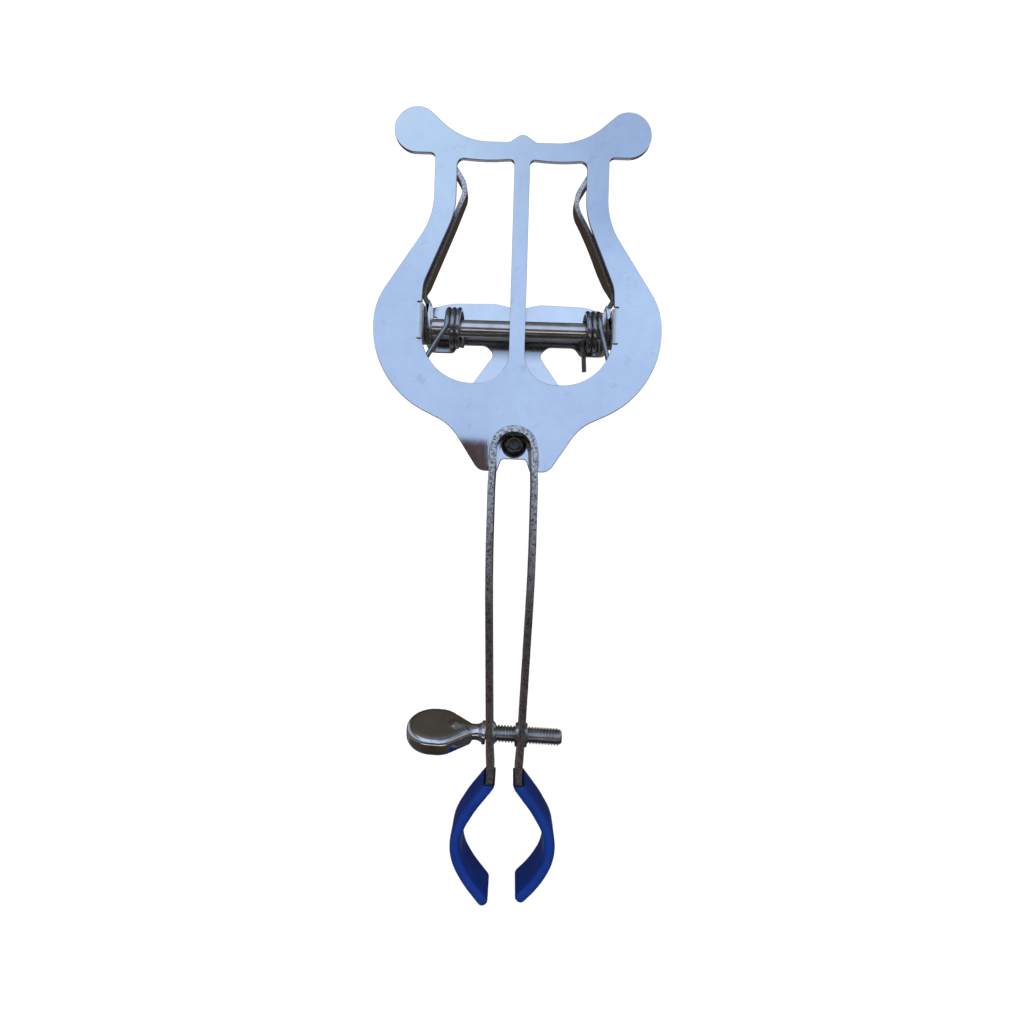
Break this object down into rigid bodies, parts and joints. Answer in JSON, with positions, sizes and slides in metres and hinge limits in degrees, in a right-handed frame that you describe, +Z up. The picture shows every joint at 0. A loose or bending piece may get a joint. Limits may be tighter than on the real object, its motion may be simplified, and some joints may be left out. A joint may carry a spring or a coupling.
{
  "type": "clamp-on music lyre",
  "caption": "Lyre-shaped music holder with a sprung rear clamp, on a hairpin stem with rubber-dipped jaws that a thumb screw closes on an instrument's tube.",
  "frame": {"origin": "centre of the ring between the rubber-dipped jaws, midway across the width of the strip", "axes": "+Z up the stem to the lyre, +X to the right seen from the front (the side the stem is on), +Y along the axis of the clamped tube, to the back, where the sprung clamp is"},
  "size_m": [0.0684, 0.0258, 0.1827],
  "materials": {
    "plated_plate": "bright nickel plate",
    "plated_clamp": "bright nickel plate",
    "pin_steel": "bright nickel plate",
    "tube_steel": "drawn tube, bright nickel plate",
    "spring_wire": "nickel plated spring wire",
    "plated_strip": "bright nickel plate, sheared edges a little speckled",
    "rivet_steel": "bright nickel plate",
    "braze_metal": "plated brazing bead",
    "screw_steel": "bright nickel plate",
    "jaw_rubber": "dipped vinyl, satin"
  },
  "bodies": {
    "lyre": {"lyre_plate": "plated_plate", "hinge_pin": "pin_steel", "hinge_sleeve": "tube_steel", "left_spring": "spring_wire", "right_spring": "spring_wire", "stem_bend": "plated_strip", "stem_rivet": "rivet_steel", "braze_bead": "braze_metal"},
    "rear_clamp": {"rear_clamp": "plated_clamp"},
    "left_leg": {"left_leg": "plated_strip", "left_jaw_sleeve": "jaw_rubber"},
    "right_leg": {"right_leg": "plated_strip", "right_jaw_sleeve": "jaw_rubber"},
    "thumb_screw": {"thumb_screw": "screw_steel"}
  },
  "joints": [
    {"name": "clamp_open", "type": "hinge", "parent": "lyre", "child": "rear_clamp", "pos_m": [0, 0.0119, 0.1189], "axis": [-1, 0, 0], "range_deg": [0, 28], "stiffness_Nm_per_rad": 0.2, "springref_deg": -28.65, "deforming": ["left_spring", "right_spring"]},
    {"name": "left_flex", "type": "hinge", "parent": "lyre", "child": "left_leg", "pos_m": [-0.0046, 0, 0.0835], "axis": [0, 1, 0], "range_deg": [-1.34, 1.34]},
    {"name": "right_flex", "type": "hinge", "parent": "lyre", "child": "right_leg", "pos_m": [0.0046, 0, 0.0835], "axis": [0, 1, 0], "range_deg": [-1.34, 1.34]},
    {"name": "screw_turn", "type": "hinge", "parent": "left_leg", "child": "thumb_screw", "pos_m": [-0.0036, 0, 0.02347], "axis": [0.9994, 0, -0.0341], "range_deg": [-1440, 1440]}
  ],
  "couplings": [
    {"joint": "left_flex", "follows": "screw_turn", "ratio": -0.0009261},
    {"joint": "right_flex", "follows": "screw_turn", "ratio": 0.0009261}
  ]
}
